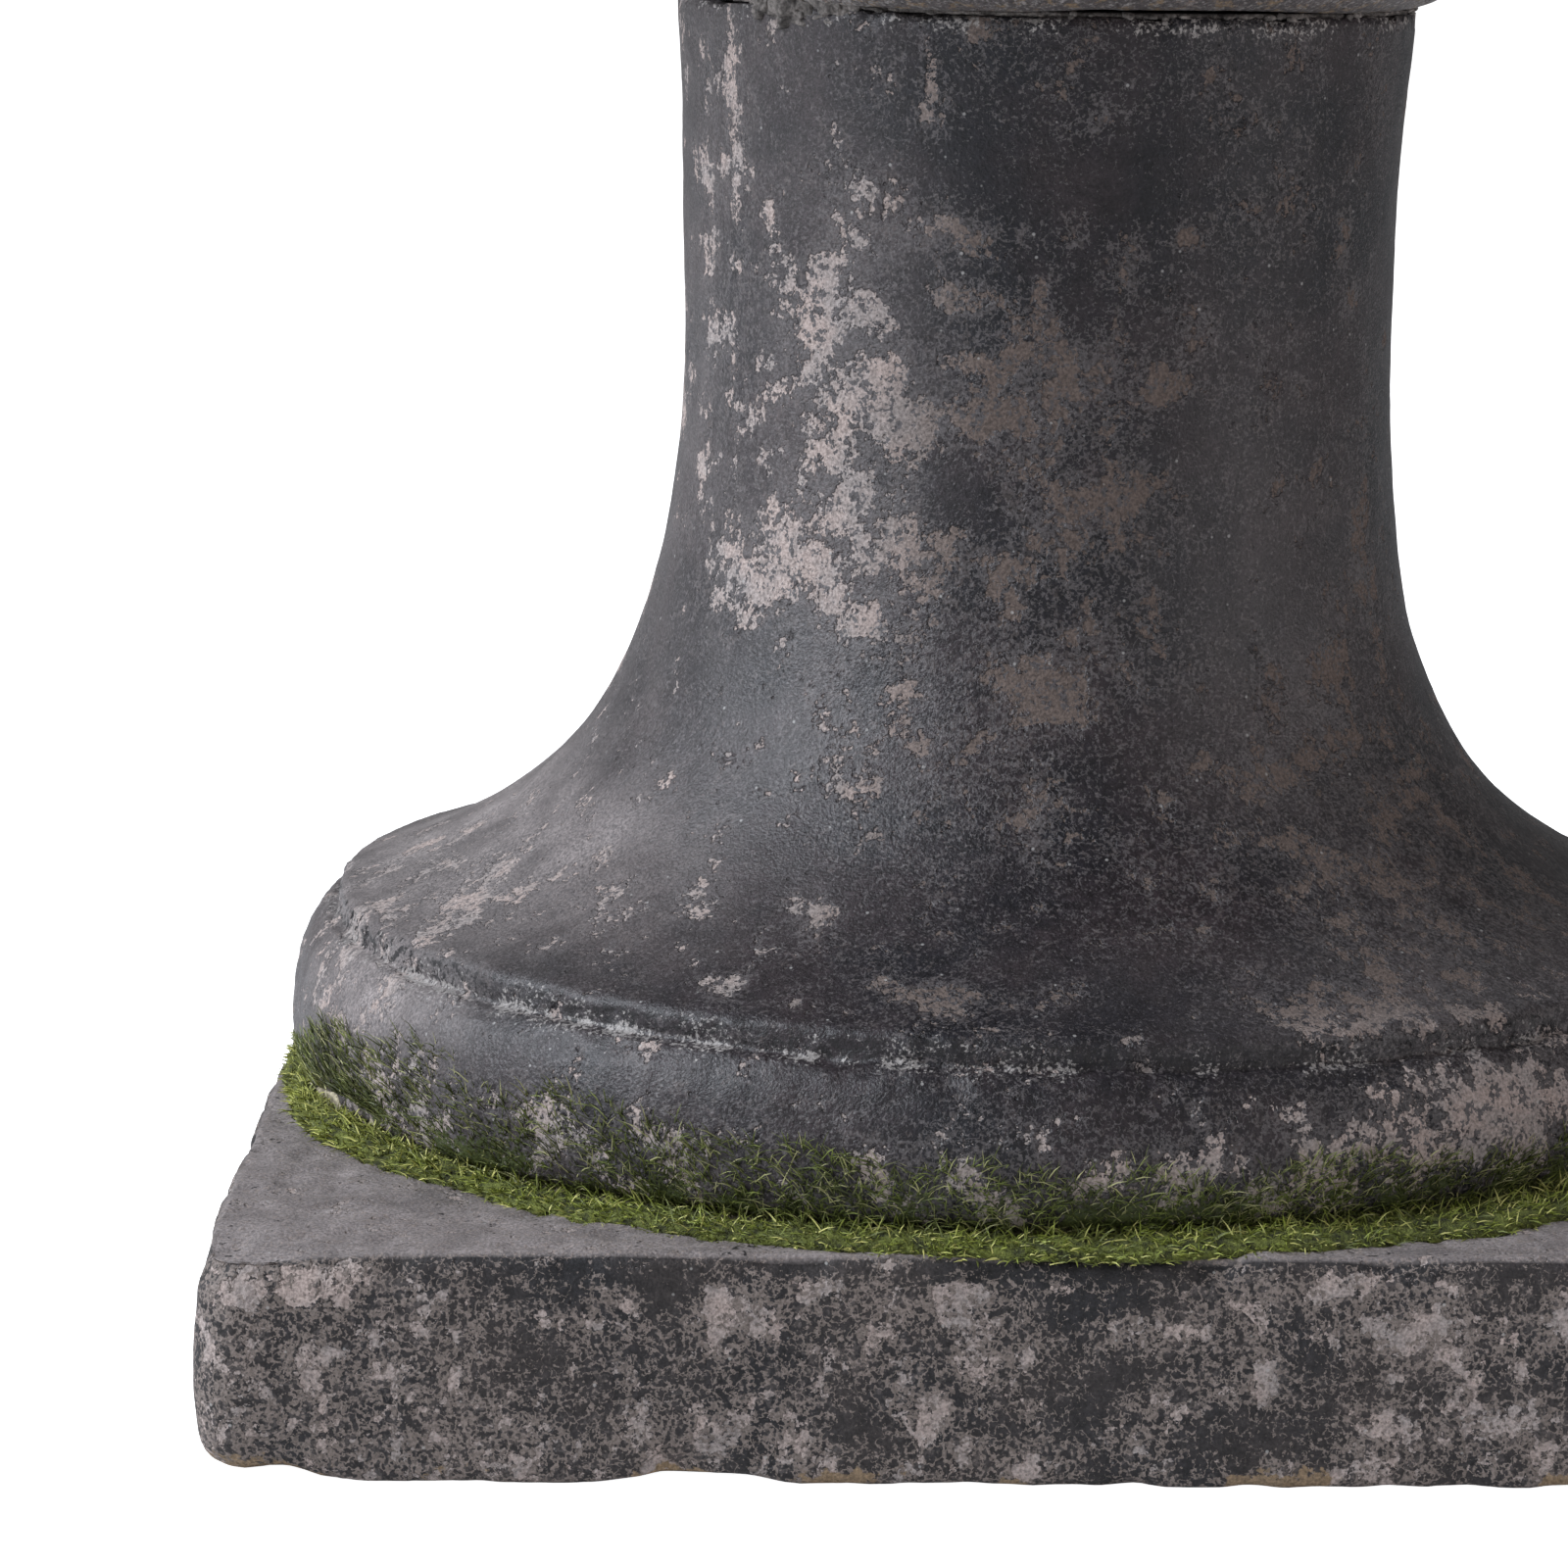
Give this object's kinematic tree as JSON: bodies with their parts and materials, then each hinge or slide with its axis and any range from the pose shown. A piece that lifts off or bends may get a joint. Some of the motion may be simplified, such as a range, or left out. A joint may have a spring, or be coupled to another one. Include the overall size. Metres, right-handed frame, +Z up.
{
  "type": "bird bath",
  "caption": "Shallow round water dish with a rolled rim on a bell-footed stone pedestal and square plinth, moss round the foot; the dish lifts off.",
  "frame": {"origin": "centre of the plinth's underside, on the ground", "axes": "+Z up along the axis of the pedestal and dish; +X and +Y square to the plinth's sides; the front faces -Y"},
  "size_m": [0.5639, 0.564, 0.4725],
  "materials": {
    "cast_stone": "matte",
    "dish_stone": "matte",
    "mortar": "matte",
    "dowel_steel": "satin",
    "moss": "matte"
  },
  "bodies": {
    "stand": {"plinth": "cast_stone", "foot_mortar": "mortar", "foot_dowel": "dowel_steel", "dowel_grout": "mortar", "pedestal": "cast_stone", "seat_dabs": "mortar", "foot_moss": "moss"},
    "dish": {"bowl": "dish_stone"}
  },
  "joints": [
    {"name": "dish_lift", "type": "slide", "parent": "stand", "child": "dish", "axis": [0, 0, 1], "range_m": [0, 0.15]}
  ]
}
